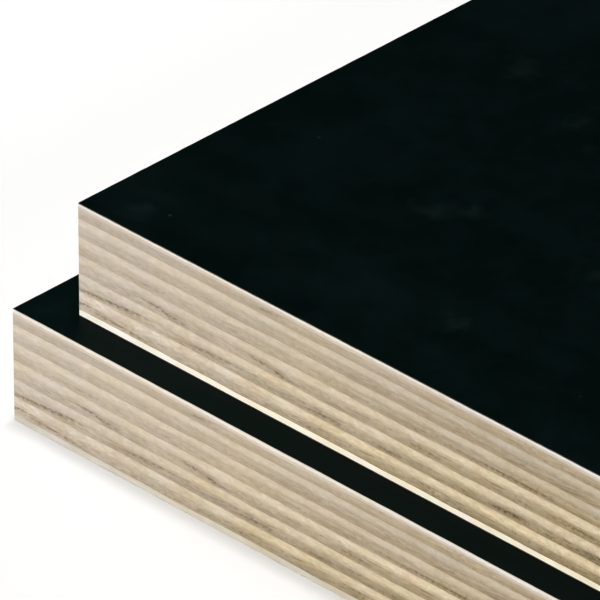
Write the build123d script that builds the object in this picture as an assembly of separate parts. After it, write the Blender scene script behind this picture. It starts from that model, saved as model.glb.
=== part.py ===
"""A short stack of film-faced birch plywood sheets, one lying on the other and slipped a little out of line.

Each sheet is built up as it is pressed: a thin phenolic film on both faces, and between them thirteen
rotary-cut veneers whose grain turns by a right angle from one to the next. The two face veneers and every
second veneer between them run along the sheet, and the veneers between those run across it. All of them
are trimmed flush on the saw, so the lay-up shows as bands on all four edges.

Units are millimetres. +X runs along the sheets and +Z is up. The origin is on the floor, in the middle of
the stack's footprint.
"""

from build123d import *
import os

# The sheets
sheet_length = 2440.0  # along the grain of the face veneers
sheet_width = 1220.0
sheet_names = ("lower_sheet", "upper_sheet")  # from the floor up

# The lay-up of one sheet, which adds up to 18 mm
film_thickness = 0.15  # resin-filled paper film, pressed on both faces
face_veneer_thickness = 0.85  # outermost veneers, thinned by sanding
long_veneer_thickness = 1.55  # inner veneers with their grain along the sheet
cross_veneer_thickness = 1.375  # inner veneers with their grain across the sheet
veneer_count = 13  # an odd number, so that both face veneers run the same way

# How far each sheet has slipped from the one below it
slip_along = 7.8
slip_across = 5.1

PARTS_FOLDER = "parts"


def veneer_thickness(number):
    """Thickness of a veneer, counted from 1 at the bottom of the sheet."""
    if number in (1, veneer_count):
        return face_veneer_thickness
    if number % 2:
        return long_veneer_thickness
    return cross_veneer_thickness


def lay_up():
    """The layers of one sheet as (name, thickness) pairs, from its underside to its top."""
    veneers = [(f"veneer_{number:02d}", veneer_thickness(number)) for number in range(1, veneer_count + 1)]
    return [("bottom_film", film_thickness), *veneers, ("top_film", film_thickness)]


def layer(thickness):
    """One layer of a sheet, centred on its own underside."""
    return Box(sheet_length, sheet_width, thickness, align=(Align.CENTER, Align.CENTER, Align.MIN))


def sheet_layers(place_along, place_across, underside):
    """The layers of one sheet by name, each seated on the layer below it."""
    layers = {}
    seat = underside
    for name, thickness in lay_up():
        layers[name] = Pos(place_along, place_across, seat) * layer(thickness)
        seat += thickness
    return layers


def stack():
    """Every layer of every sheet by its full name, with each sheet resting on the one below it."""
    sheet_thickness = sum(thickness for _, thickness in lay_up())
    middle = (len(sheet_names) - 1) / 2
    pieces = {}
    for level, sheet_name in enumerate(sheet_names):
        slips = level - middle
        layers = sheet_layers(slips * slip_along, slips * slip_across, level * sheet_thickness)
        pieces.update({f"{sheet_name}_{name}": solid for name, solid in layers.items()})
    return pieces


os.makedirs(PARTS_FOLDER, exist_ok=True)
for node, solid in stack().items():
    solid.label = node
    export_step(solid, os.path.join(PARTS_FOLDER, f"{node}.step"))
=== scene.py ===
"""The looks of a short stack of film-faced birch plywood sheets, laid out as a Blender add-on.

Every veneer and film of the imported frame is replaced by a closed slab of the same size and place. The rim of
a slab is a grid: one parameter runs round the four edges of the sheet, the other climbs from the slab's
underside to its top. On that grid the sawn edge gets its relief, which only ever goes inwards: saw marks,
torn end grain, worn corners and a slightly ragged film. The glue lines between the veneers stray up and
down. Lengths are in metres and colours are written as the 0 to 255 values that a screen shows.
"""

import functools
import math
from typing import NamedTuple

import bpy
import numpy as np
from bpy.props import FloatProperty, FloatVectorProperty, IntProperty, PointerProperty
from bpy.types import Operator, Panel, PropertyGroup
from mathutils import Matrix, Vector


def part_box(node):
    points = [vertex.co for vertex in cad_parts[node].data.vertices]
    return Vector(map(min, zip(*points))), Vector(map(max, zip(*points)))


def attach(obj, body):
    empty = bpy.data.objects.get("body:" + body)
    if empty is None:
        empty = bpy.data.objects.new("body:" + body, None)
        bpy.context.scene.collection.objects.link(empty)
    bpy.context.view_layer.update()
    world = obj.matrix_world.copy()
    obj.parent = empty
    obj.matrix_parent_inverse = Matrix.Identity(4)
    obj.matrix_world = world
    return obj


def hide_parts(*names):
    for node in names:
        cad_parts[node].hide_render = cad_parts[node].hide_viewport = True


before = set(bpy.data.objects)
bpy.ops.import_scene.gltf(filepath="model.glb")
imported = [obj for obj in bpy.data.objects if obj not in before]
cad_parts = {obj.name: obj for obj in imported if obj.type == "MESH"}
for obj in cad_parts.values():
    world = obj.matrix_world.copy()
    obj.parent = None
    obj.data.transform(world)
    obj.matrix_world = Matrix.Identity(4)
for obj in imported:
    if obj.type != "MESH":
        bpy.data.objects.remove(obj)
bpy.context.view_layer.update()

bl_info = {
    "name": "Film-faced plywood stack",
    "version": (1, 0, 0),
    "blender": (4, 5, 0),
    "location": "3D View > Sidebar > Plywood",
    "description": "Dresses a stack of film-faced birch plywood sheets and sets up its stage",
    "category": "Object",
}

MM = 0.001
BODY = "root"
SHEETS = ("lower_sheet", "upper_sheet")  # from the floor up
LOWER_SHEET, UPPER_SHEET = SHEETS
VENEERS = 13  # in a sheet, numbered from 1 at its bottom
FACE_VENEERS = (1, VENEERS)  # the outermost ones
SEED = 20

# Maps and attributes that the materials read
EDGE_MAP = "EdgeMap"  # running length round the sheet in metres, and height within the layer from 0 to 1
RING_MAP = "RingMap"  # the same, but leaning as the year rings of the layer do
BAKE_MAP = "OFBake"
EDGE_WEAR_AND_SHADE = "edge_wear"  # torn fibre, darkened partly as painted shade in its groove, paleness and coarseness of the wood
EDGE_TONE = "edge_tone"  # levels that its red, green and blue are multiplied by


# Settings


def screen_colour(red, green, blue):
    """A colour given as 0 to 255 screen values, turned into Blender's linear values by the screen's curve."""
    shares = np.array([red, green, blue]) / 255
    linear = np.where(shares <= 0.04045, shares / 12.92, ((shares + 0.055) / 1.055) ** 2.4)
    return tuple(float(value) for value in linear)


def colour_property(name, description, screen):
    """A colour setting with its default given as screen values."""
    return FloatVectorProperty(
        name=name, description=description, default=screen_colour(*screen), subtype="COLOR", min=0, max=1
    )


def number_property(name, description, default, **more):
    """A number that is never below 0."""
    return FloatProperty(name=name, description=description, default=default, min=0, **more)


def length_property(name, description, default):
    """A length setting in metres."""
    return number_property(name, description, default, unit="LENGTH", precision=5)


def angle_property(name, description, degrees):
    """An angle setting with its default given in degrees."""
    return FloatProperty(name=name, description=description, default=math.radians(degrees), subtype="ANGLE")


class PlywoodVeneerSettings(PropertyGroup):
    """Sizes and colours of the veneers' sawn edges"""

    # The top colours of the three kinds of wood hold a painted highlight along the top of each veneer, and the
    # bottom colours hold painted shade towards its underside.
    side_highlit_top: colour_property("Side grain, top", "Wood along its fibres, on its tight side", (219, 202, 174))
    side_shaded_bottom: colour_property("Side grain, bottom", "The same wood on its looser side", (179, 162, 134))
    end_highlit_top: colour_property("End grain, top", "Wood seen at the ends of its fibres", (178, 161, 132))
    end_shaded_bottom: colour_property("End grain, bottom", "The same wood on its looser side", (154, 136, 106))
    face_highlit_top: colour_property("Face veneer, top", "Pale wood of the outermost veneers", (239, 232, 220))
    face_shaded_bottom: colour_property("Face veneer, bottom", "The same wood on its lower side", (208, 194, 174))
    # The torn colour is partly the own colour of torn fibre and partly painted shade in the groove.
    torn: colour_property("Torn fibre", "Dark bottom of a torn groove", (98, 78, 55))
    # The glue colour is partly cured glue and partly painted shade along the underside of a veneer.
    glue: colour_property("Glue line and shade", "Cured glue between two veneers", (128, 106, 80))
    # The flecks grow with that fade, so they show most in the painted highlight near the top of a veneer.
    fleck: colour_property("Fleck", "Bright fibres on the tight side of a veneer", (238, 226, 206))
    pale: colour_property("Pale corner", "Dried wood near the corners of a sheet", (204, 192, 180))
    pale_share: number_property("Paleness", "How much of the wood's colour is lost at a corner", 0.5, max=1)
    pale_reach: length_property("Pale reach", "Length over which the paleness fades from a corner", 105 * MM)
    corner_step: length_property("Corner step", "Spacing of the grid near a corner", 0.8 * MM)
    middle_step: length_property("Middle step", "Spacing of the grid between the corners", 8 * MM)
    corner_reach: length_property("Corner reach", "Length of the fine grid from each corner", 125 * MM)
    rows: IntProperty(name="Rows", description="Faces across the thickness of a veneer", default=7, min=1)
    glue_wander: length_property("Glue wander", "How far a glue line strays up or down", 0.07 * MM)
    sawn_relief: length_property("Sawn relief", "Depth of the waves left by the saw", 0.03 * MM)
    end_recess: length_property("End recess", "How far end grain stands back from side grain", 0.04 * MM)
    tear_depth: length_property("Tear depth", "Depth of a torn groove in the end grain", 0.14 * MM)
    tear_rate: number_property("Tears per metre", "Torn grooves along a metre of end grain", 45)
    corner_wear: length_property("Corner wear", "How far an upright corner is rubbed back", 0.02 * MM)


class PlywoodFilmSettings(PropertyGroup):
    """Sizes and colours of the phenolic films"""

    film: colour_property("Film", "Colour of the pressed film", (1, 8, 6))
    covered: colour_property("Covered film", "Colour of the film that another sheet lies on", (1, 12, 10))
    mottle: colour_property("Mottling", "Paler clouds in the film", (4, 12, 12))
    rubbed: colour_property("Rubbed marks", "Pale marks of handling on the film", (13, 22, 21))
    # The haze is partly wiped dust and partly painted sheen on the film.
    dust_and_sheen_haze: colour_property("Haze", "Wiped dust that lies in broad bands on the film", (22, 31, 31))
    dust: colour_property("Dust", "Small specks of dust on the film", (28, 38, 40))
    # Its paleness is wood dust, and on the lower sheet's bottom film, next to the floor, it is also painted
    # light from the floor.
    trimmed: colour_property("Trimmed edge", "Sawn edge of the film, dusted with wood", (212, 200, 182))
    trim_wander: length_property("Trim wander", "How ragged the trimmed film edge is", 0.04 * MM)
    chip_depth: length_property("Chip depth", "Depth of a chip in the film edge", 0.25 * MM)
    chip_rate: number_property("Chips per metre", "Chips along a metre of film edge", 9)


class PlywoodStageSettings(PropertyGroup):
    """Floor, lamps and camera"""

    floor: colour_property("Floor", "Colour of the floor", (203, 203, 203))
    floor_lift: number_property("Floor lift", "Light that the floor adds of its own where it is seen", 0.26)
    floor_size: length_property("Floor size", "Half the width of the floor", 150.0)
    azimuth: angle_property("Azimuth", "Turn of the camera round the stack", 44.69)
    elevation: angle_property("Elevation", "Camera's height over the horizon", 31.79)
    lens: number_property("Lens", "Focal length", 660.0, unit="CAMERA")
    distance: length_property("Distance", "From the camera to the near corner of the lower sheet", 1.4994)
    lamp_level: number_property("Lamp level", "Brightness of all lamps together", 1.0)


# Grid round a sheet


class Rim(NamedTuple):
    """Columns of the grid round a sheet, anticlockwise from the corner of least x and y."""

    place: np.ndarray  # x and y of each column
    inward: np.ndarray  # direction in which the relief goes
    run: np.ndarray  # length run so far
    corner_gap: np.ndarray  # distance to the nearest corner
    side: np.ndarray  # 0 front, 1 right, 2 back, 3 left
    late: np.ndarray  # whether the next step lies in the second half of its side
    lap: float  # length of a whole turn


SIDE_TURNS = ((1, 0), (0, 1), (-1, 0), (0, -1))  # direction of travel on each side


def side_steps(length, settings):
    """Places along one side, without its far end: fine near both corners and coarse between them."""
    near = np.arange(0, settings.corner_reach, settings.corner_step)
    middle_length = length - 2 * settings.corner_reach
    count = int(math.ceil(middle_length / settings.middle_step)) + 1
    middle = np.linspace(settings.corner_reach, length - settings.corner_reach, count)
    return np.concatenate([near, middle, (length - near)[:0:-1]])


def sheet_rim(low, high, settings):
    """The rectangle from low to high as columns: each is its side's start plus the step along that side."""
    size = (high[0] - low[0], high[1] - low[1])
    starts = ((low[0], low[1]), (high[0], low[1]), (high[0], high[1]), (low[0], high[1]))
    parts = []
    begun = 0.0
    for side, (start, turn) in enumerate(zip(starts, SIDE_TURNS)):
        length = size[side % 2]
        step = side_steps(length, settings)
        place = np.array(start) + step[:, None] * np.array(turn)
        inward = np.tile([-turn[1], turn[0]], (len(step), 1)).astype(float)
        inward[0] += turn  # a corner column goes in on both of its sides
        gap = np.minimum(step, length - step)
        parts.append((place, inward, begun + step, gap, np.full(len(step), side), step >= length / 2))
        begun += length
    return Rim(*(np.concatenate(column) for column in zip(*parts)), lap=begun)


def smooth_step(share):
    """A soft rise from 0 to 1 as the share goes from 0 to 1: three squares less two cubes."""
    held = np.clip(share, 0, 1)
    return held**2 * (3 - 2 * held)


def between(ends, share):
    """The value that lies at a share of the way from the first of two ends to the second."""
    return ends[0] + (ends[1] - ends[0]) * share


class Waves(NamedTuple):
    """Waves along the rim: the shortest and the longest of them, and the spread of their sum."""

    shortest: float
    longest: float
    swing: float


WAVE_COUNT = 24  # of the waves in a sum
GLUE_WAVES = Waves(9 * MM, 70 * MM, 0.5)  # of a glue line, in shares of how far it strays
SAW_WAVES = Waves(3 * MM, 30 * MM, 0.25)  # of the saw, in shares of its relief
TRIM_WAVES = Waves(2 * MM, 25 * MM, 0.3)  # of the film's edge, in shares of its raggedness
TONE_WAVES = Waves(60 * MM, 400 * MM, 0.03)  # of a veneer's brightness
HUE_WAVES = Waves(12 * MM, 90 * MM, 0.45)  # of its warmth
STAIN_WAVES = Waves(2.5 * MM, 16 * MM, 1.3)  # of the dark and warm patches in coarse wood
ROSE_WAVES = Waves(2.5 * MM, 16 * MM, 1.3)  # of the rosy patches in it


def wander(rim, rng, waves):
    """Smooth random values round the sheet: sine waves of random phase, each with whole turns to a lap."""
    turns = np.round(rim.lap / rng.uniform(waves.shortest, waves.longest, WAVE_COUNT))
    phases = rng.uniform(0, math.tau, WAVE_COUNT)
    sines = np.sin(math.tau * np.outer(rim.run / rim.lap, turns) + phases)
    return waves.swing * math.sqrt(2 / WAVE_COUNT) * sines.sum(axis=1)


def held_wander(rim, rng, waves):
    """The same values about a half, held between 0 and 1."""
    return np.clip(0.5 + wander(rim, rng, waves), 0, 1)


def glue_line(rim, level, settings):
    """How far the line above veneer number level strays from its flat place: waves, and none at a film."""
    if level in (0, VENEERS):
        return np.zeros(len(rim.run))
    rng = np.random.default_rng([SEED, VENEERS + level])
    return settings.glue_wander * wander(rim, rng, GLUE_WAVES)


WEAR_REACH = 1.0 * MM  # of the wear beside an upright corner


def corner_fade(rim):
    """How near a column is to an upright corner: 1 there, falling exponentially with the distance."""
    return np.exp(-rim.corner_gap / WEAR_REACH)


# Lines of torn fibre


class Streaks(NamedTuple):
    """Slanting lines on the edge of one layer, with one entry for each line in every array."""

    middle: np.ndarray  # running length at the middle of the line
    half: np.ndarray  # half of its length
    height: np.ndarray  # height of its middle, as a share of the layer
    rise: np.ndarray  # change of that share over half of the length
    width: np.ndarray  # half of its thickness, as a share of the layer
    strength: np.ndarray  # from 0 to 1


# Lines near the left end of the front edges, the same on both sheets: veneer number, start and end along the
# edge, height at both as shares of the veneer, half of the thickness as a share, strength
SEEN_STREAKS = (
    (12, 34 * MM, 39 * MM, 0.45, 0.75, 0.10, 0.45),
    (8, 7 * MM, 17 * MM, 0.50, 0.60, 0.10, 0.30),
    (8, 74 * MM, 89 * MM, 0.40, 0.32, 0.12, 1.00),
    (6, 12.5 * MM, 20.5 * MM, 1.00, 0.15, 0.13, 0.85),
    (6, 32 * MM, 41 * MM, 0.95, 0.20, 0.13, 0.90),
    (6, 62 * MM, 68 * MM, 0.60, 0.40, 0.13, 0.75),
    (6, 89 * MM, 100 * MM, 0.65, 0.45, 0.16, 0.85),
    (4, -1 * MM, 13.5 * MM, 0.15, 0.95, 0.14, 0.85),
    (4, 20 * MM, 31.5 * MM, 0.45, 0.95, 0.12, 0.65),
    (4, 43 * MM, 50 * MM, 0.30, 0.55, 0.13, 0.75),
    (4, 57 * MM, 61 * MM, 0.35, 0.40, 0.14, 0.70),
    (4, 77 * MM, 84 * MM, 0.45, 0.62, 0.20, 1.00),
    (4, 94 * MM, 101 * MM, 0.60, 0.75, 0.22, 1.00),
    (2, 1.5 * MM, 14.5 * MM, 0.60, 0.22, 0.12, 0.75),
    (2, 42.5 * MM, 45 * MM, 0.45, 0.45, 0.15, 0.70),
)
SEEN_STRETCH = 104 * MM  # of the front edge, which that table covers

# Lines scattered past that stretch, each value as its least and its greatest
TEAR_HALF_LENGTHS = (2.5 * MM, 8 * MM)
CHIP_HALF_LENGTHS = (0.4 * MM, 2.0 * MM)
STREAK_HEIGHTS = (0.1, 0.9)  # as shares of the layer
STREAK_WIDTHS = (0.06, 0.13)  # as shares of the layer
STREAK_STRENGTHS = (0.3, 1.0)
STRENGTH_POWER = 1.5  # by which strong lines are rarer than weak ones

HALO_SHARE = 0.3  # of a line's strength that lies in the faint shade round it
HALO_SPREAD = 6.0  # square of that shade's width over the width of the line


def random_streaks(rim, rng, rate, half_lengths, slope, thickness):
    """Lines scattered past the stretch of the table, all leaning alike.

    The rise of a line is the slope times half of its length, over the thickness of the layer.
    """
    count = int(rate * rim.lap)
    half = rng.uniform(*half_lengths, count)
    return Streaks(
        middle=rng.uniform(SEEN_STRETCH, rim.lap, count),
        half=half,
        height=rng.uniform(*STREAK_HEIGHTS, count),
        rise=slope * half / thickness,
        width=rng.uniform(*STREAK_WIDTHS, count),
        strength=rng.uniform(*STREAK_STRENGTHS, count) ** STRENGTH_POWER,
    )


def seen_streaks(number):
    """The lines near the left end of the front edge of a veneer, from their table."""
    rows = np.array([row[1:] for row in SEEN_STREAKS if row[0] == number]).reshape(-1, 6)
    start, end, first, last, width, strength = rows.T
    middle, half = (start + end) / 2, (end - start) / 2
    return Streaks(middle, half, (first + last) / 2, (last - first) / 2, width, strength)


def streak_mask(rim, heights, streaks):
    """Depth shares of the lines: each is two bells across it, faded at both ends, and the deepest counts."""
    along = ((rim.run[:, None] - streaks.middle + rim.lap / 2) % rim.lap - rim.lap / 2) / streaks.half
    reach = streaks.strength * np.exp(-(along**4))
    line = streaks.height + streaks.rise * along
    rows = []
    for height in heights:
        away = ((height - line) / streaks.width) ** 2
        bells = (1 - HALO_SHARE) * np.exp(-away) + HALO_SHARE * np.exp(-away / HALO_SPREAD)
        rows.append((reach * bells).max(axis=1, initial=0.0))
    return np.stack(rows, axis=1)


# Slabs


class Layer(NamedTuple):
    """One layer of a sheet: its node, its box and its grid."""

    node: str
    low: np.ndarray
    high: np.ndarray
    rim: Rim

    @property
    def thickness(self):
        return self.high[2] - self.low[2]


class Edge(NamedTuple):
    """What is known of a layer's rim beyond its place."""

    depth: np.ndarray  # of the relief, on the grid
    low_line: np.ndarray  # height of the underside at each column
    high_line: np.ndarray  # height of the top at each column
    marks: dict  # attributes that the material reads, each as three values on the grid
    slots: tuple  # material slot of each side of the sheet
    offset: float = 0.0  # shift of the grain
    lean: float = 0.0  # of the year rings, as height shares for each metre


class BakePlan(NamedTuple):
    """How the map for baking is shared out."""

    strips: int  # into which the rim is folded
    cap_share: float  # of the map's height that the caps get


CAP_INSET = 60 * MM  # of a cap's inner points from the sides
SHARP_ANGLE = math.radians(50)  # between faces that are shaded apart
RIM_PLAN = BakePlan(strips=32, cap_share=0.03)  # for a layer that shows its rim
CAP_PLAN = BakePlan(strips=8, cap_share=0.92)  # for a layer that shows its face
SIDE_MARGIN_SHARE = 0.03  # of the map's width, free at the ends of strips and caps
STRIP_FILL_SHARE = 0.75  # of a strip's height that is filled
CAP_MARGIN_SHARE = 0.02  # of a cap's height, free below and above it


def layer_of(node, settings):
    """The layer that a node of the frame stands for."""
    low, high = (np.array(corner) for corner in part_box(node))
    return Layer(node, low, high, sheet_rim(low, high, settings))


def slab_faces(rim, rows):
    """Corner numbers of a closed slab: quads round the rim, and two caps of fans, strips and a middle.

    Column c and height r is point c * (rows + 1) + r. Each cap has four points of its own, well inside the
    corners. The columns of a side fan out to the cap point at its start, and from its middle on to the one
    at its end.
    """
    columns = len(rim.run)
    heights = rows + 1
    here = np.arange(columns)
    after = np.roll(here, -1)
    base = here[:, None] * heights + np.arange(rows)
    above = after[:, None] * heights + np.arange(rows)
    quads = np.stack([base, above, above + 1, base + 1], axis=-1).reshape(-1, 4)
    cap_start = columns * heights
    fan = (rim.side + rim.late) % 4
    switch = np.array([np.flatnonzero((rim.side == side) & rim.late)[0] for side in range(4)])
    ends = (np.arange(4) + 1) % 4
    caps = []
    middles = []
    for row, first, order in ((rows, cap_start, (0, 1, 2)), (0, cap_start + 4, (1, 0, 2))):
        fans = np.stack([here * heights + row, after * heights + row, first + fan], axis=-1)
        strips = np.stack([switch * heights + row, first + ends, first + np.arange(4)], axis=-1)
        caps.append(np.concatenate([fans, strips])[:, order])
        middles.append(first + np.arange(4))
    middles[1] = middles[1][::-1]
    return quads, np.concatenate(caps), np.stack(middles)


def slab_points(layer, edge):
    """Points of a slab: the rim moved inwards by its relief, at heights shared out between its two lines."""
    heights = np.linspace(0, 1, edge.depth.shape[1])
    flat = layer.rim.place[:, None] + layer.rim.inward[:, None] * edge.depth[:, :, None]
    rise = edge.low_line[:, None] + (edge.high_line - edge.low_line)[:, None] * heights
    band = np.concatenate([flat, rise[:, :, None]], axis=2).reshape(-1, 3)
    near, far = layer.low[:2] + CAP_INSET, layer.high[:2] - CAP_INSET
    corners = np.array([near, (far[0], near[1]), far, (near[0], far[1])])
    top = np.column_stack([corners, np.full(4, layer.high[2])])
    bottom = np.column_stack([corners, np.full(4, layer.low[2])])
    return np.concatenate([band, top, bottom])


def rim_corners(rim, rows):
    """Running length and height share at the four corners of every quad of the rim."""
    left = np.repeat(rim.run, rows)
    right = np.repeat(np.append(rim.run[1:], rim.lap), rows)
    low = np.tile(np.arange(rows) / rows, len(rim.run))
    high = low + 1 / rows
    return np.stack([left, right, right, left], axis=-1), np.stack([low, low, high, high], axis=-1)


def edge_map(rim, rows, cap_corners, offset, lean):
    """Map of the materials: length plus the layer's own offset, and height plus lean times the length.

    The caps, which are hidden or take no notice of this map, stay at one spot.
    """
    run, height = rim_corners(rim, rows)
    band = np.stack([run + offset, height + lean * run], axis=-1).reshape(-1, 2)
    return np.concatenate([band, np.tile([offset, 0.5], (cap_corners, 1))])


def bake_map(rim, rows, cap_places, cap_levels, plan):
    """Map for baking: the rim folded into strips, one above the other, and above them the two caps."""
    run, height = rim_corners(rim, rows)
    strip_length = rim.lap / plan.strips
    strip = np.floor(run.mean(axis=1, keepdims=True) / strip_length)
    gap = (1 - STRIP_FILL_SHARE) / 2
    up = (strip + gap + STRIP_FILL_SHARE * height) * (1 - plan.cap_share) / plan.strips
    low = cap_places.min(axis=0)
    shares = (cap_places - low) / (cap_places.max(axis=0) - low)
    cap_up = cap_levels + between((CAP_MARGIN_SHARE, 1 - CAP_MARGIN_SHARE), shares[:, 1])
    cap_up = 1 - plan.cap_share + cap_up * plan.cap_share / 2
    across = np.concatenate([(run / strip_length - strip).ravel(), shares[:, 0]])
    across = between((SIDE_MARGIN_SHARE, 1 - SIDE_MARGIN_SHARE), across)
    return np.column_stack([across, np.concatenate([up.ravel(), cap_up])])


def new_mesh(name, points, faces):
    """A mesh of points and of groups of faces, where all faces of a group have as many corners."""
    totals = np.concatenate([np.full(len(group), group.shape[1]) for group in faces])
    corners = np.concatenate([group.ravel() for group in faces])
    mesh = bpy.data.meshes.new(name)
    mesh.vertices.add(len(points))
    mesh.vertices.foreach_set("co", points.astype(np.float32).ravel())
    mesh.loops.add(len(corners))
    mesh.loops.foreach_set("vertex_index", corners.astype(np.int32))
    mesh.polygons.add(len(totals))
    mesh.polygons.foreach_set("loop_start", (np.cumsum(totals) - totals).astype(np.int32))
    return mesh


def slab(layer, edge, materials, plan):
    """A closed mesh object for one layer, with its materials, maps and attributes."""
    rim = layer.rim
    rows = edge.depth.shape[1] - 1
    points = slab_points(layer, edge)
    faces = slab_faces(rim, rows)
    mesh = new_mesh(layer.node, points, faces)
    for material in materials:
        mesh.materials.append(material)
    rim_count = len(faces[0])
    slot = np.zeros(len(mesh.polygons), np.int32)
    slot[:rim_count] = np.repeat(np.array(edge.slots)[rim.side], rows)
    mesh.polygons.foreach_set("material_index", slot)
    mesh.polygons.foreach_set("use_smooth", np.arange(len(slot)) < rim_count)
    mesh.update(calc_edges=True)
    cap_points = points[np.concatenate([group.ravel() for group in faces[1:]])]
    cap_levels = (cap_points[:, 2] < layer.low[2] + layer.thickness / 2).astype(float)
    maps = {
        EDGE_MAP: edge_map(rim, rows, len(cap_points), edge.offset, 0.0),
        RING_MAP: edge_map(rim, rows, len(cap_points), edge.offset, edge.lean),
        BAKE_MAP: bake_map(rim, rows, cap_points[:, :2], cap_levels, plan),
    }
    for name, values in maps.items():
        mesh.uv_layers.new(name=name, do_init=False).data.foreach_set("uv", values.astype(np.float32).ravel())
    for name, values in edge.marks.items():
        marks = np.concatenate([values.reshape(-1, 3), np.zeros((len(points) - edge.depth.size, 3))])
        attribute = mesh.attributes.new(name, "FLOAT_VECTOR", "POINT")
        attribute.data.foreach_set("vector", marks.astype(np.float32).ravel())
    mesh.set_sharp_from_angle(angle=SHARP_ANGLE)
    mesh.validate()
    piece = bpy.data.objects.new(layer.node + "_slab", mesh)
    bpy.context.scene.collection.objects.link(piece)
    return piece


# Shader nodes

MIX_FACTOR, MIX_FIRST, MIX_SECOND, MIX_RESULT = 0, 6, 7, 2  # colour sockets of a Mix node


def add(tree, kind, inputs=None, **settings):
    """A new node with its settings, and its inputs given as values or as the sockets that feed them."""
    made = tree.nodes.new(kind)
    for name, value in settings.items():
        setattr(made, name, value)
    for name, value in (inputs or {}).items():
        if isinstance(value, bpy.types.NodeSocket):
            tree.links.new(value, made.inputs[name])
        else:
            made.inputs[name].default_value = value
    return made


def maths(tree, operation, first, second, clamp=False):
    """One sum on two values."""
    return add(tree, "ShaderNodeMath", {0: first, 1: second}, operation=operation, use_clamp=clamp).outputs[0]


def plus(tree, *values):
    """The sum of several values."""
    return functools.reduce(functools.partial(maths, tree, "ADD"), values)


def times(tree, *values):
    """The product of several values."""
    return functools.reduce(functools.partial(maths, tree, "MULTIPLY"), values)


def shared(tree, share, first, second):
    """The share of a first value plus the rest of a second one."""
    return plus(tree, times(tree, first, share), times(tree, second, 1 - share))


def push(tree, value, amount):
    """How far a value lies from a half, times an amount."""
    return times(tree, maths(tree, "SUBTRACT", value, 0.5), amount)


def ramp(tree, value, start, end, low=0.0, high=1.0, smooth=True):
    """The value taken from the range start to end, onto low to high, and held there beyond it."""
    made = add(
        tree,
        "ShaderNodeMapRange",
        {"Value": value, "From Min": start, "From Max": end, "To Min": low, "To Max": high},
        interpolation_type="SMOOTHSTEP" if smooth else "LINEAR",
    )
    return made.outputs["Result"]


def mix(tree, share, first, second, blend="MIX"):
    """A blend of two colours."""
    made = add(
        tree,
        "ShaderNodeMix",
        {MIX_FACTOR: share, MIX_FIRST: colour_value(first), MIX_SECOND: colour_value(second)},
        data_type="RGBA",
        blend_type=blend,
    )
    return made.outputs[MIX_RESULT]


def colour_value(colour):
    """A colour setting as a node takes it, or the socket that it already is."""
    return colour if isinstance(colour, bpy.types.NodeSocket) else (*colour, 1.0)


def brighten(tree, colour, level):
    """A colour times a level."""
    return add(tree, "ShaderNodeVectorMath", {0: colour, "Scale": level}, operation="SCALE").outputs[0]


def axis(tree, vector, name):
    """One of the three values of a vector."""
    return add(tree, "ShaderNodeSeparateXYZ", {0: vector}).outputs[name]


def noise(tree, vector, dimensions="2D", detail=3.0, roughness=0.55):
    """Smooth random values between 0 and 1, mostly near a half."""
    made = add(
        tree,
        "ShaderNodeTexNoise",
        {"Vector": vector, "Scale": 1.0, "Detail": detail, "Roughness": roughness},
        noise_dimensions=dimensions,
    )
    return made.outputs["Fac"]


def scaled_place(tree, place, length, lines):
    """The map with its running length in units of length, and its height in lines to a layer."""
    along = maths(tree, "DIVIDE", axis(tree, place, "X"), length)
    up = times(tree, axis(tree, place, "Y"), lines)
    return add(tree, "ShaderNodeCombineXYZ", {"X": along, "Y": up}).outputs[0]


def new_material(name):
    """A material with nothing but its output, and that output."""
    material = bpy.data.materials.new(name)
    material.use_nodes = True
    material.node_tree.nodes.clear()
    return material, material.node_tree, material.node_tree.nodes.new("ShaderNodeOutputMaterial")


def set_surface(tree, out, inputs):
    """The surface of a material: one Principled shader with its inputs."""
    shader = add(tree, "ShaderNodeBsdfPrincipled", inputs)
    tree.links.new(shader.outputs[0], out.inputs["Surface"])


# Node groups that the woods share

NOISE_SPAN = (0.28, 0.72)  # where nearly all values of a noise lie
GLUE_GAPS = (0.42, 0.66)  # values of the noise between which a glue line comes in


def new_group(name, inputs, outputs):
    """An empty node group with named sockets, and its input and output nodes."""
    group = bpy.data.node_groups.new(name, "ShaderNodeTree")
    for socket, kind in inputs.items():
        group.interface.new_socket(socket, in_out="INPUT", socket_type="NodeSocket" + kind)
    for socket, kind in outputs.items():
        group.interface.new_socket(socket, in_out="OUTPUT", socket_type="NodeSocket" + kind)
    return group, group.nodes.new("NodeGroupInput").outputs, group.nodes.new("NodeGroupOutput").inputs


def place_group(tree, group, inputs):
    """A group set into a material with its own values, and its outputs."""
    return add(tree, "ShaderNodeGroup", inputs, node_tree=group).outputs


def grain_group():
    """Lines of grain on the edge: noise stretched along the sheet, spread over the range from 0 to 1."""
    sockets = {"Place": "Vector", "Length": "Float", "Lines": "Float"}
    group, given, out = new_group("Edge grain", sockets, {"Value": "Float"})
    vector = scaled_place(group, given["Place"], given["Length"], given["Lines"])
    group.links.new(ramp(group, noise(group, vector), *NOISE_SPAN, smooth=False), out["Value"])
    return group


def glue_and_shade_group():
    """Glue along the underside of a veneer, partly painted shade there: a line that fades over its width,
    broken by noise along it.
    """
    sockets = {"Place": "Vector", "Width": "Float", "Length": "Float"}
    group, given, out = new_group("Glue line and shade", sockets, {"Mask": "Float"})
    line = ramp(group, axis(group, given["Place"], "Y"), 0.0, given["Width"], 1.0, 0.0)
    broken = ramp(group, noise(group, scaled_place(group, given["Place"], given["Length"], 1.0)), *GLUE_GAPS)
    group.links.new(times(group, line, broken), out["Mask"])
    return group


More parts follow.
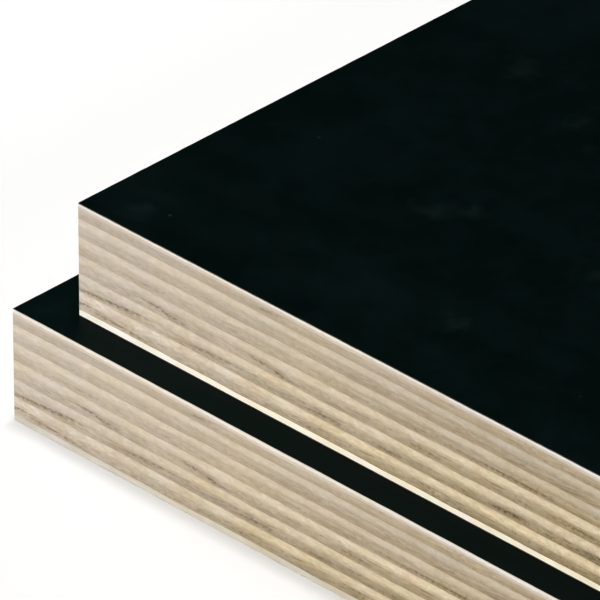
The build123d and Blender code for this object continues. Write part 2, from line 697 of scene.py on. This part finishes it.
def weather_group():
    """Wear of the wood: corners go pale, each veneer has its own tone, and torn fibre goes dark, partly as
    painted shade in its groove.
    """
    sockets = {
        "Colour": "Color",
        "Tone": "Color",
        "Wear": "Vector",
        "Break": "Float",
        "Torn": "Color",
        "Pale": "Color",
    }
    group, given, out = new_group("Weathering", sockets, {"Colour": "Color"})
    paled = mix(group, axis(group, given["Wear"], "Y"), given["Colour"], given["Pale"])
    toned = mix(group, 1.0, paled, given["Tone"], "MULTIPLY")
    torn = times(group, axis(group, given["Wear"], "X"), given["Break"])
    group.links.new(mix(group, torn, toned, given["Torn"]), out["Colour"])
    return group


# Wood


class Grain(NamedTuple):
    """How wood looks on one kind of edge."""

    top: tuple  # colour near the top of the veneer, a painted highlight
    bottom: tuple  # colour at its underside, in painted shade
    foot: float  # height up to which the wood has its bottom colour, as a share of the veneer
    crest: float  # height of the top colour, as a share too
    blotches: float  # how far broad clouds shift the colour
    lines: float  # how far fine lines shift it
    hairs: float  # strength of dark hairlines
    pits: float  # strength of dark dots
    flecks: float  # strength of pale flecks
    glue: float  # strength of the glue line, partly painted shade
    lift: float  # how far the colour turns back to that of the top, with its painted highlight, at the very underside
    specks: float  # how far small specks shift the brightness
    shades: float  # how far longer shades shift it


class Pattern(NamedTuple):
    """A pattern of grain: how long its marks are, how many fit across a veneer, and where they come in."""

    length: float
    lines: float
    start: float = 0.0  # value of the noise up to which nothing shows
    full: float = 1.0  # value from which it shows fully


BLOTCHES = Pattern(16 * MM, 0.8)
FINE_LINES = Pattern(8 * MM, 5.0)
HAIRLINES = Pattern(5 * MM, 8.0, 0.62, 0.92)
HAIR_PATCHES = Pattern(28 * MM, 0.7, 0.45, 0.75)  # in which the hairlines lie
PITS = Pattern(0.8 * MM, 3.5, 0.6, 0.8)
PIT_PATCHES = Pattern(9 * MM, 1.5, 0.45, 0.65)  # in which the dots lie
FLECKS = Pattern(1.7 * MM, 3.5, 0.6, 0.95)
PORES = Pattern(0.16 * MM, 8.0, 0.3, 0.7)
SPECKS = Pattern(1.4 * MM, 3.0)
SHADES = Pattern(4.5 * MM, 1.6)
BREAKS = Pattern(0.75 * MM, 4.5, 0.32, 0.68)  # of a torn line
RAGS = Pattern(1.3 * MM, 2.5)  # of the fade from bottom to top
RAG_SHARE = 0.2  # of the veneer over which that fade is ragged
FALL_HEIGHTS = (0.8, 1.2)  # between which the top colour falls off again
FALL_LEVELS = (1.0, 0.3)
LIFT_SHARE = 0.3  # of the veneer over which the lift fades
GLUE_AND_SHADE_SHARE = 0.3  # of the veneer over which the glue line, partly painted shade, fades
GLUE_LENGTH = 9 * MM  # of its unbroken stretches
PORE_LEVELS = (0.95, 1.05)  # brightness in a pore and beside it
BREAK_LEVELS = (0.25, 1.05)  # strength of a torn line in a break and beside it
LINE_RELIEF_SHARE = 0.6  # of the bump that the fine lines make, the rest being pores
WOOD_BUMP = {"Strength": 0.3, "Distance": 0.05 * MM}
WOOD_ROUGHNESS = (0.62, 0.8)
WOOD_SPECULAR = 0.15


def wood_material(name, grain, settings, groups):
    """Sawn edge of a veneer: a fade from a painted highlight at the top to painted shade at the bottom,
    clouds, lines, flecks, dots, glue, wear and pores. The glue and the torn grooves are partly painted shade.
    """
    material, tree, out = new_material(name)
    place = add(tree, "ShaderNodeUVMap", uv_map=EDGE_MAP).outputs["UV"]
    rings = add(tree, "ShaderNodeUVMap", uv_map=RING_MAP).outputs["UV"]
    wear = add(tree, "ShaderNodeAttribute", attribute_name=EDGE_WEAR_AND_SHADE).outputs["Vector"]
    tone = add(tree, "ShaderNodeAttribute", attribute_name=EDGE_TONE).outputs["Vector"]
    coarse = axis(tree, wear, "Z")

    def lines(where, pattern):
        given = {"Place": where, "Length": pattern.length, "Lines": pattern.lines}
        return place_group(tree, groups["grain"], given)["Value"]

    def marks(where, pattern, low=0.0, high=1.0):
        return ramp(tree, lines(where, pattern), pattern.start, pattern.full, low, high)

    fine = lines(rings, FINE_LINES)
    pores = noise(tree, scaled_place(tree, place, PORES.length, PORES.lines))
    height = plus(tree, axis(tree, place, "Y"), push(tree, lines(place, RAGS), RAG_SHARE))
    # Climb, fall and lift make the painted highlight near the top of the veneer and the painted shade towards
    # its underside.
    climb = ramp(tree, height, grain.foot, grain.crest)
    fall = ramp(tree, height, *FALL_HEIGHTS, *FALL_LEVELS)
    lift = ramp(tree, height, 0.0, LIFT_SHARE, grain.lift, 0.0)
    level = plus(tree, times(tree, climb, fall), lift, push(tree, lines(place, BLOTCHES), grain.blotches))
    level = maths(tree, "ADD", level, push(tree, fine, grain.lines), clamp=True)
    colour = mix(tree, level, grain.bottom, grain.top)
    flecks = times(tree, marks(place, FLECKS), level, grain.flecks)
    colour = mix(tree, flecks, colour, settings.fleck)
    hairs = times(tree, marks(rings, HAIRLINES), marks(place, HAIR_PATCHES), grain.hairs, coarse)
    pits = times(tree, marks(rings, PITS), marks(place, PIT_PATCHES), grain.pits, coarse)
    colour = mix(tree, maths(tree, "MAXIMUM", hairs, pits), colour, settings.torn)
    gluing = {"Place": place, "Width": GLUE_AND_SHADE_SHARE, "Length": GLUE_LENGTH}
    glue = place_group(tree, groups["glue"], gluing)["Mask"]
    colour = mix(tree, times(tree, glue, grain.glue), colour, settings.glue)
    colour = brighten(tree, colour, ramp(tree, pores, PORES.start, PORES.full, *PORE_LEVELS))
    weathering = {
        "Colour": colour,
        "Tone": tone,
        "Wear": wear,
        "Break": marks(rings, BREAKS, *BREAK_LEVELS),
        "Torn": colour_value(settings.torn),
        "Pale": colour_value(settings.pale),
    }
    colour = place_group(tree, groups["weather"], weathering)["Colour"]
    specks = push(tree, lines(place, SPECKS), grain.specks)
    shades = push(tree, lines(place, SHADES), grain.shades)
    shift = times(tree, plus(tree, specks, shades), coarse)
    relief = shared(tree, LINE_RELIEF_SHARE, fine, pores)
    surface = {
        "Base Color": brighten(tree, colour, plus(tree, shift, 1.0)),
        "Roughness": ramp(tree, fine, 0.0, 1.0, *WOOD_ROUGHNESS),
        "Normal": add(tree, "ShaderNodeBump", {"Height": relief, **WOOD_BUMP}).outputs[0],
        "Specular IOR Level": WOOD_SPECULAR,
    }
    set_surface(tree, out, surface)
    return material


SIDE_WOOD, END_WOOD = "birch_side_grain", "birch_end_grain"
FACE_WOODS = {1: "birch_bottom_face", VENEERS: "birch_top_face"}  # side grain of the outermost veneers


def wood_grains(settings):
    """The kinds of edge that wood shows, by the names of their materials."""
    side = Grain(
        top=settings.side_highlit_top,
        bottom=settings.side_shaded_bottom,
        foot=-0.1,
        crest=0.62,
        blotches=0.35,
        lines=0.3,
        hairs=0.15,
        pits=0.2,
        flecks=0.3,
        glue=0.1,
        lift=0.0,
        specks=0.24,
        shades=0.14,
    )
    end = Grain(
        top=settings.end_highlit_top,
        bottom=settings.end_shaded_bottom,
        foot=0.1,
        crest=0.95,
        blotches=0.8,
        lines=0.7,
        hairs=0.9,
        pits=0.65,
        flecks=0.0,
        glue=0.3,
        lift=0.5,
        specks=0.3,
        shades=0.14,
    )
    top_face = Grain(
        top=settings.face_highlit_top,
        bottom=settings.face_shaded_bottom,
        foot=0.3,
        crest=0.8,
        blotches=0.3,
        lines=0.3,
        hairs=0.0,
        pits=0.0,
        flecks=0.2,
        glue=0.0,
        lift=0.0,
        specks=0.1,
        shades=0.06,
    )
    bottom_face = top_face._replace(foot=-0.6, crest=0.2)
    return {SIDE_WOOD: side, END_WOOD: end, FACE_WOODS[1]: bottom_face, FACE_WOODS[VENEERS]: top_face}


# Film


class Clouds(NamedTuple):
    """A pattern of noise on the film: its scale, its detail, and the values between which it comes in."""

    scale: tuple  # patches to a metre along, across and up
    detail: float = 3.0
    roughness: float = 0.55
    start: float = 0.0
    full: float = 1.0
    shift: tuple = (0.0, 0.0, 0.0)  # in patches


BROAD_CLOUDS = Clouds((28.0, 28.0, 28.0))
SMUDGES = Clouds((130.0, 130.0, 130.0), detail=4.0, roughness=0.7)
PEEL = Clouds((1100.0, 1100.0, 1100.0), detail=2.0)
GRAIN_BELOW = Clouds((9.0, 260.0, 260.0))  # of the veneer that shows through the film
RUBS = Clouds((60.0, 60.0, 60.0), detail=4.0, roughness=0.6, start=0.6, full=0.78)
DUST_AND_SHEEN_HAZE = Clouds(  # dust and painted sheen, shifted so that it is thin at the front left corner
    (2.2, 9.0, 9.0), detail=6.0, roughness=0.65, start=0.42, full=0.8, shift=(-11.9, -6.4, 0.0)
)
DUST = Clouds((520.0, 520.0, 520.0), detail=0.0, start=0.86, full=0.95)
BROAD_SHARE = 0.45  # of the broad clouds in the mottling, the rest being smudges
MOTTLE_SPAN = (0.4, 0.62)  # values of both between which the mottling comes in
DUST_AND_SHEEN_STRENGTH = 0.7
PEEL_SHARE = 0.35  # of the peel in the bump, the rest being grain
FILM_BUMP = {"Strength": 0.2, "Distance": 0.08 * MM}
GLOSS_SPAN = (0.7, 1.3)  # values of clouds plus grain between which the gloss changes
FILM_ROUGHNESS = (0.3, 0.42)
FILM_SPECULAR = 0.015

EDGE_DUST = Pattern(2.5 * MM, 1.0, 0.3, 0.5)  # wood dust on the sawn edge of a film
CLEAN_SHARES = (0.0, 0.15)  # of that dust where it is thin and where it is thick
# The thick share is also painted light from the floor on the lower sheet's bottom film.
DUSTY_AND_LIT_SHARES = (0.75, 1.0)
TRIM_SPAN = (0.3, 0.6)  # values of the dust between which the roughness changes
TRIM_ROUGHNESS = (0.6, 0.85)
TRIM_SPECULAR = 0.1


def film_material(name, base, settings):
    """Pressed phenolic film: near black, faintly clouded, with rubbed marks, dust specks and a haze that is
    partly painted sheen, and with a fine peel and the grain below as bump.
    """
    material, tree, out = new_material(name)
    place = add(tree, "ShaderNodeTexCoord").outputs["Object"]

    def patches(clouds):
        given = {0: place, 1: clouds.scale, 2: clouds.shift}
        vector = add(tree, "ShaderNodeVectorMath", given, operation="MULTIPLY_ADD").outputs[0]
        return noise(tree, vector, "3D", clouds.detail, clouds.roughness)

    def marks(clouds, strength=1.0):
        return ramp(tree, patches(clouds), clouds.start, clouds.full, 0.0, strength)

    broad = patches(BROAD_CLOUDS)
    below = patches(GRAIN_BELOW)
    mottle = shared(tree, BROAD_SHARE, broad, patches(SMUDGES))
    colour = mix(tree, ramp(tree, mottle, *MOTTLE_SPAN), base, settings.mottle)
    colour = mix(tree, marks(RUBS), colour, settings.rubbed)
    colour = mix(tree, marks(DUST_AND_SHEEN_HAZE, DUST_AND_SHEEN_STRENGTH), colour, settings.dust_and_sheen_haze)
    relief = shared(tree, PEEL_SHARE, patches(PEEL), below)
    surface = {
        "Base Color": mix(tree, marks(DUST), colour, settings.dust),
        "Roughness": ramp(tree, plus(tree, broad, below), *GLOSS_SPAN, *FILM_ROUGHNESS),
        "Normal": add(tree, "ShaderNodeBump", {"Height": relief, **FILM_BUMP}).outputs[0],
        "Specular IOR Level": FILM_SPECULAR,
    }
    set_surface(tree, out, surface)
    return material


def trimmed_material(name, settings, dust_shares):
    """Sawn edge of a film: dark resin paper under wood dust, from its thinnest to its thickest share. Where it
    is thick, the pale dust is partly painted light from the floor.
    """
    material, tree, out = new_material(name)
    place = add(tree, "ShaderNodeUVMap", uv_map=EDGE_MAP).outputs["UV"]
    dust = noise(tree, scaled_place(tree, place, EDGE_DUST.length, EDGE_DUST.lines))
    share = ramp(tree, dust, EDGE_DUST.start, EDGE_DUST.full, *dust_shares)
    surface = {
        "Base Color": mix(tree, share, settings.film, settings.trimmed),
        "Roughness": ramp(tree, dust, *TRIM_SPAN, *TRIM_ROUGHNESS),
        "Specular IOR Level": TRIM_SPECULAR,
    }
    set_surface(tree, out, surface)
    return material


# Veneers

VENEER_TONES = (  # near a corner and away from it, from the bottom veneer up
    (0.0, 0.0),
    (0.2, -0.1),
    (0.15, 0.08),
    (0.05, -0.12),
    (-0.02, -0.08),
    (0.0, -0.08),
    (-0.02, -0.1),
    (0.0, -0.05),
    (-0.04, -0.2),
    (-0.02, 0.0),
    (-0.04, -0.25),
    (-0.02, 0.03),
    (0.0, 0.0),
)
FACE_TONES = {  # the same for the side grain of the outermost veneers
    (LOWER_SHEET, 1): (0.03, -0.1),
    (LOWER_SHEET, VENEERS): (-0.06, -0.02),
    # The upper sheet's bottom face veneer is brightened as a painted highlight, against the shade that the
    # black film below it leaves.
    (UPPER_SHEET, 1): (0.44, 0.22),
    (UPPER_SHEET, VENEERS): (-0.07, 0.0),
}
SHEET_TONES = {  # added at the bottom, the middle and the top of a sheet
    LOWER_SHEET: (-0.26, 0.0, -0.02),
    UPPER_SHEET: (0.02, -0.015, -0.05),
}
SHEET_LEVELS = (0.0, 0.5, 1.0)  # of those three tones
WARMTHS = (2.3, -0.6)  # of the wood away from the corners, in the bottom and in the top veneer
WARM_REACH = 60 * MM  # over which that warmth grows from a corner
WARM_SHIFT = (0.01, 0.0, -0.05)  # change of red, green and blue for a warmth of 1
STAIN_SHIFT = (-0.019, -0.025, -0.046)  # the same for a stain of 1
ROSE_SHIFT = (0.005, -0.006, 0.001)  # the same for a rosiness of 1
PATCH_SEED = 1  # keeps the draws for stains and rosy patches apart from the other ones
COARSENESS = (1.0, 0.35)  # of the wood, in the bottom and in the top veneer
RING_SLOPE = 0.16  # steepest rise of the year rings over their run
GRAIN_OFFSET = 40.0  # metres over which the veneers' patterns are shifted against each other


def runs_long(number):
    """Whether a veneer's fibres run along the sheet, as they do in every odd one."""
    return number % 2 == 1


def torn_fibre(layer, number, slope, rng, settings):
    """Torn lines of a veneer on its grid: the scattered ones and those of the table, whichever is deeper."""
    heights = np.linspace(0, 1, settings.rows + 1)
    scattered = random_streaks(layer.rim, rng, settings.tear_rate, TEAR_HALF_LENGTHS, slope, layer.thickness)
    both = (streak_mask(layer.rim, heights, streaks) for streaks in (scattered, seen_streaks(number)))
    return np.maximum(*both)


def sawn_depth(rim, rng, shows_ends, torn, settings):
    """Relief of a veneer: saw waves, the recess of end grain and its tears, with wear instead at a corner."""
    worn = corner_fade(rim)[:, None]
    sawn = settings.sawn_relief * held_wander(rim, rng, SAW_WAVES) + settings.end_recess * shows_ends
    return (sawn[:, None] + settings.tear_depth * torn) * (1 - worn) + settings.corner_wear * worn


def veneer_levels(sheet, number, rim, rng, shows_ends, fresh, coarse):
    """Levels of red, green and blue along a veneer.

    They are 1 plus its tone, times 1 plus the shift of its warmth, of its stains and of its rosy patches.
    """
    level = (number - 1) / (VENEERS - 1)
    tone = between(VENEER_TONES[number - 1], fresh)
    if number in FACE_VENEERS:
        tone = np.where(shows_ends, tone, between(FACE_TONES[sheet, number], fresh))
    tone = tone + np.interp(level, SHEET_LEVELS, SHEET_TONES[sheet]) + wander(rim, rng, TONE_WAVES)
    warmth = between(WARMTHS, level) * smooth_step(rim.corner_gap / WARM_REACH) + wander(rim, rng, HUE_WAVES)
    patch_rng = np.random.default_rng([SEED, number, PATCH_SEED])
    stain, rose = (coarse * wander(rim, patch_rng, waves) for waves in (STAIN_WAVES, ROSE_WAVES))
    shifts = ((warmth, WARM_SHIFT), (stain, STAIN_SHIFT), (rose, ROSE_SHIFT))
    return (1 + tone)[:, None] * np.prod([1 + np.outer(*shift) for shift in shifts], axis=0)


def veneer(sheet, number, settings, woods):
    """One veneer: side grain on the two sides that its fibres follow, end grain on the other two."""
    layer = layer_of(f"{sheet}_veneer_{number:02d}", settings)
    rim = layer.rim
    rng = np.random.default_rng([SEED, number])
    slots = (0, 1, 0, 1) if runs_long(number) else (1, 0, 1, 0)
    shows_ends = np.array(slots)[rim.side].astype(float)
    slope = rng.uniform(-RING_SLOPE, RING_SLOPE)
    torn = torn_fibre(layer, number, slope, rng, settings) * shows_ends[:, None]
    depth = sawn_depth(rim, rng, shows_ends, torn, settings)
    fresh = smooth_step(rim.corner_gap / settings.pale_reach)
    coarse = between(COARSENESS, (number - 1) / (VENEERS - 1))
    levels = veneer_levels(sheet, number, rim, rng, shows_ends, fresh, coarse)
    pale = settings.pale_share * (1 - fresh)
    if number in FACE_VENEERS:
        pale = pale * shows_ends
    wear = np.stack(np.broadcast_arrays(torn, pale[:, None], coarse), axis=-1)
    edge = Edge(
        depth=depth,
        low_line=layer.low[2] + glue_line(rim, number - 1, settings),
        high_line=layer.high[2] + glue_line(rim, number, settings),
        marks={EDGE_WEAR_AND_SHADE: wear, EDGE_TONE: np.repeat(levels[:, None], torn.shape[1], axis=1)},
        slots=slots,
        offset=rng.uniform(0, GRAIN_OFFSET),
        lean=-slope / layer.thickness,
    )
    materials = (woods[FACE_WOODS.get(number, SIDE_WOOD)], woods[END_WOOD])
    return slab(layer, edge, materials, RIM_PLAN)


class PLYWOOD_OT_veneers(Operator):
    """Replace the veneers of every sheet by slabs with sawn and grained edges"""

    bl_idname = "plywood.veneers"
    bl_label = "Dress the veneers"

    def execute(self, context):
        settings = context.scene.plywood_veneers
        groups = {"grain": grain_group(), "glue": glue_and_shade_group(), "weather": weather_group()}
        grains = wood_grains(settings)
        woods = {name: wood_material(name, grain, settings, groups) for name, grain in grains.items()}
        for sheet in SHEETS:
            for number in range(1, VENEERS + 1):
                piece = veneer(sheet, number, settings, woods)
                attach(piece, BODY)
                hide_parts(f"{sheet}_veneer_{number:02d}")
        return {"FINISHED"}


# Films

CHIP_HEIGHT_SHARE = 0.5  # of the film at which its chips lie, which go through all of it


def film(node, settings, veneer_settings, materials):
    """One film: a thin slab whose edge strays a little inwards and has small chips."""
    layer = layer_of(node, veneer_settings)
    rim = layer.rim
    rng = np.random.default_rng([SEED, 2 * VENEERS + sorted(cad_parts).index(node)])
    ragged = settings.trim_wander * held_wander(rim, rng, TRIM_WAVES)
    chips = random_streaks(rim, rng, settings.chip_rate, CHIP_HALF_LENGTHS, 0.0, layer.thickness)
    chips = chips._replace(height=np.full(len(chips.half), CHIP_HEIGHT_SHARE))
    chipped = streak_mask(rim, (CHIP_HEIGHT_SHARE,), chips)[:, 0]
    depth = ragged + veneer_settings.corner_wear * corner_fade(rim) + settings.chip_depth * chipped
    edge = Edge(
        depth=np.repeat(depth[:, None], 2, axis=1),
        low_line=np.full(len(depth), layer.low[2]),
        high_line=np.full(len(depth), layer.high[2]),
        marks={},
        slots=(1, 1, 1, 1),
    )
    return slab(layer, edge, materials, CAP_PLAN)


class PLYWOOD_OT_films(Operator):
    """Replace the films of every sheet by thin slabs with a slightly ragged, chipped edge"""

    bl_idname = "plywood.films"
    bl_label = "Dress the films"

    def execute(self, context):
        settings = context.scene.plywood_films
        open_film = film_material("phenolic_film", settings.film, settings)
        covered_film = film_material("covered_phenolic_film", settings.covered, settings)
        clean_edge = trimmed_material("trimmed_film_edge", settings, CLEAN_SHARES)
        dusty_and_lit_edge = trimmed_material("dusty_and_lit_film_edge", settings, DUSTY_AND_LIT_SHARES)
        for sheet in SHEETS:
            for face in ("bottom", "top"):
                node = f"{sheet}_{face}_film"
                finish = covered_film if (sheet, face) == (LOWER_SHEET, "top") else open_film
                # The lower sheet's film edges are pale with dust; on its bottom film, by the floor, that
                # paleness is also painted light from the floor.
                trim = dusty_and_lit_edge if sheet == LOWER_SHEET else clean_edge
                piece = film(node, settings, context.scene.plywood_veneers, (finish, trim))
                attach(piece, BODY)
                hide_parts(node)
        return {"FINISHED"}


# Stage

IMAGE_SIDE = 600  # pixels
CORNER_PIXEL = (12.45, 308.5)  # where the near corner of the lower sheet's top lies in the picture
WHITE = (1.0, 1.0, 1.0, 1.0)
FLOOR_ROUGHNESS = 0.9
WALL_HEIGHTS = (0.02, 0.34)  # rises of the view between which the walls darken
WALL_LEVELS = (0.5, 0.006)  # their light there


class Lamp(NamedTuple):
    """A distant lamp: where it stands and how wide it looks, as angles in degrees, and its strength."""

    name: str
    azimuth: float  # 0 is in front of the stack, 90 to its right
    elevation: float
    strength: float
    width: float


LAMPS = (
    Lamp("front_lamp", -15, 20, 2.2, 30),
    Lamp("right_lamp", 90, 20, 2.0, 30),
    Lamp("back_lamp", 180, 20, 2.0, 30),
    Lamp("left_lamp", -90, 20, 2.0, 30),
    Lamp("top_lamp", 180, 85.5, 1.5, 10),
)


def direction(azimuth, elevation):
    """Unit vector from the stack towards a lamp or a camera, from two angles in radians."""
    level = math.cos(elevation)
    return Vector((math.sin(azimuth) * level, -math.cos(azimuth) * level, math.sin(elevation)))


def floor_material(settings):
    """Pale floor that a camera sees as white outside the shadow of the stack."""
    material, tree, out = new_material("pale_floor")
    paths = add(tree, "ShaderNodeLightPath").outputs
    seen = maths(tree, "MAXIMUM", paths["Is Camera Ray"], paths["Is Glossy Ray"])
    seen = maths(tree, "MAXIMUM", seen, paths["Is Transmission Ray"])
    colour = colour_value(settings.floor)
    matt = {"Base Color": colour, "Roughness": FLOOR_ROUGHNESS, "Specular IOR Level": 0.0}
    shader = add(tree, "ShaderNodeBsdfPrincipled", matt)
    glow = {"Color": WHITE, "Strength": times(tree, seen, settings.floor_lift)}
    lift = add(tree, "ShaderNodeEmission", glow)
    both = add(tree, "ShaderNodeAddShader", {0: shader.outputs[0], 1: lift.outputs[0]})
    tree.links.new(both.outputs[0], out.inputs["Surface"])
    return material


def add_floor(scene, settings):
    """A flat square floor under the stack: a grid of two by two points."""
    reach = settings.floor_size
    x, y = np.meshgrid((-reach, reach), (-reach, reach))
    points = np.column_stack([x.ravel(), y.ravel(), np.zeros(4)])
    mesh = bpy.data.meshes.new("floor")
    mesh.from_pydata(points.tolist(), [], [(0, 1, 3, 2)])
    mesh.materials.append(floor_material(settings))
    floor = bpy.data.objects.new("floor", mesh)
    scene.collection.objects.link(floor)


def add_lamps(scene, settings):
    """Broad suns from all round, which light every side alike over the whole floor."""
    for lamp in LAMPS:
        data = bpy.data.lights.new(lamp.name, "SUN")
        data.energy = lamp.strength * settings.lamp_level
        data.angle = math.radians(lamp.width)
        holder = bpy.data.objects.new(lamp.name, data)
        holder.rotation_mode = "QUATERNION"
        towards = direction(math.radians(lamp.azimuth), math.radians(lamp.elevation))
        holder.rotation_quaternion = towards.to_track_quat("Z", "Y")
        holder.visible_glossy = False
        scene.collection.objects.link(holder)


def add_world(scene):
    """Studio round the stage: pale walls at the horizon that darken towards the ceiling."""
    world = bpy.data.worlds.new("studio")
    world.use_nodes = True
    tree = world.node_tree
    tree.nodes.clear()
    rise = axis(tree, add(tree, "ShaderNodeTexCoord").outputs["Generated"], "Z")
    level = ramp(tree, rise, *WALL_HEIGHTS, *WALL_LEVELS)
    background = add(tree, "ShaderNodeBackground", {"Color": WHITE, "Strength": level})
    out = tree.nodes.new("ShaderNodeOutputWorld")
    tree.links.new(background.outputs[0], out.inputs["Surface"])
    scene.world = world


def add_camera(scene, settings):
    """A long lens set so that the near corner of the lower sheet falls on its pixel."""
    data = bpy.data.cameras.new("camera")
    data.lens = settings.lens
    camera = bpy.data.objects.new("camera", data)
    back = direction(settings.azimuth, settings.elevation)
    right = Vector((math.cos(settings.azimuth), math.sin(settings.azimuth), 0.0))
    up = back.cross(right)
    low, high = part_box(LOWER_SHEET + "_top_film")
    corner = Vector((low[0], low[1], high[2]))
    pixel = settings.distance * data.sensor_width / data.lens / IMAGE_SIDE
    across = (CORNER_PIXEL[0] - IMAGE_SIDE / 2) * pixel
    down = (CORNER_PIXEL[1] - IMAGE_SIDE / 2) * pixel
    place = corner + back * settings.distance - right * across + up * down
    axes = Matrix((right, up, back)).transposed().to_4x4()
    camera.matrix_world = Matrix.Translation(place) @ axes
    scene.collection.objects.link(camera)
    scene.camera = camera


class PLYWOOD_OT_stage(Operator):
    """Add the floor, the soft lamps and the camera"""

    bl_idname = "plywood.stage"
    bl_label = "Set the stage"

    def execute(self, context):
        scene = context.scene
        settings = scene.plywood_stage
        add_floor(scene, settings)
        add_lamps(scene, settings)
        add_world(scene)
        add_camera(scene, settings)
        scene.view_settings.view_transform = "Standard"
        return {"FINISHED"}


# Add-on


class VIEW3D_PT_plywood(Panel):
    """Settings and steps of the plywood stack"""

    bl_label = "Plywood stack"
    bl_space_type = "VIEW_3D"
    bl_region_type = "UI"
    bl_category = "Plywood"

    def draw(self, context):
        steps = (
            (PLYWOOD_OT_veneers, context.scene.plywood_veneers),
            (PLYWOOD_OT_films, context.scene.plywood_films),
            (PLYWOOD_OT_stage, context.scene.plywood_stage),
        )
        for operator, settings in steps:
            box = self.layout.box()
            for name in settings.__annotations__:
                box.prop(settings, name)
            box.operator(operator.bl_idname)


SETTINGS = {
    "plywood_veneers": PlywoodVeneerSettings,
    "plywood_films": PlywoodFilmSettings,
    "plywood_stage": PlywoodStageSettings,
}
CLASSES = (*SETTINGS.values(), PLYWOOD_OT_veneers, PLYWOOD_OT_films, PLYWOOD_OT_stage, VIEW3D_PT_plywood)


def register():
    for known in CLASSES:
        bpy.utils.register_class(known)
    for name, group in SETTINGS.items():
        setattr(bpy.types.Scene, name, PointerProperty(type=group))


def unregister():
    for name in SETTINGS:
        delattr(bpy.types.Scene, name)
    for known in reversed(CLASSES):
        bpy.utils.unregister_class(known)


def main():
    """Dress the stack and set the stage."""
    register()
    bpy.ops.plywood.veneers()
    bpy.ops.plywood.films()
    bpy.ops.plywood.stage()


if __name__ == "__main__":
    main()
